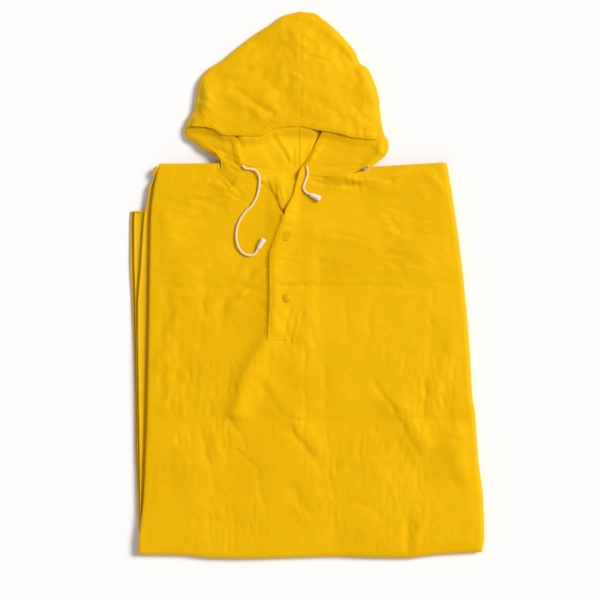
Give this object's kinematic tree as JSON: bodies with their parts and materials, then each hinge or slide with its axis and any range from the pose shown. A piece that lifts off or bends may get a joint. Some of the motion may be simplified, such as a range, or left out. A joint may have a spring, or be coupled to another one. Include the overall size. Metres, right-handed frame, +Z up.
{
  "type": "rain poncho",
  "caption": "Hooded rain poncho in coated cloth, folded and laid flat, hood spread open above the shoulders, with a V neck, snap placket and drawcord.",
  "frame": {"origin": "on the surface it lies on, below the middle of its length and width", "axes": "+Y along the garment's length towards the hood, +X to the right as seen from above, +Z up out of the cloth"},
  "size_m": [0.6218, 0.96, 0.0314],
  "materials": {
    "cloth_outside": "satin coated cloth",
    "cloth_inside": "satin coated cloth",
    "cloth_folds": "satin coated cloth",
    "snap_yellow": "gloss",
    "cord_white": "braided cord",
    "bell_white": "satin"
  },
  "bodies": {
    "root": {"hidden_folds": "cloth_folds", "front_panel": "cloth_outside", "placket_over": "cloth_outside", "placket_under": "cloth_inside", "back_neck": "cloth_inside", "hood_left": "cloth_outside", "hood_right": "cloth_outside", "face_casing": "cloth_outside", "face_casing_left": "cloth_outside", "face_casing_right": "cloth_outside", "snap_cap_lower": "snap_yellow", "snap_upper": "snap_yellow", "drawcord_left": "cord_white", "drawcord_right": "cord_white", "bell_left": "bell_white", "bell_right": "bell_white"}
  },
  "joints": []
}
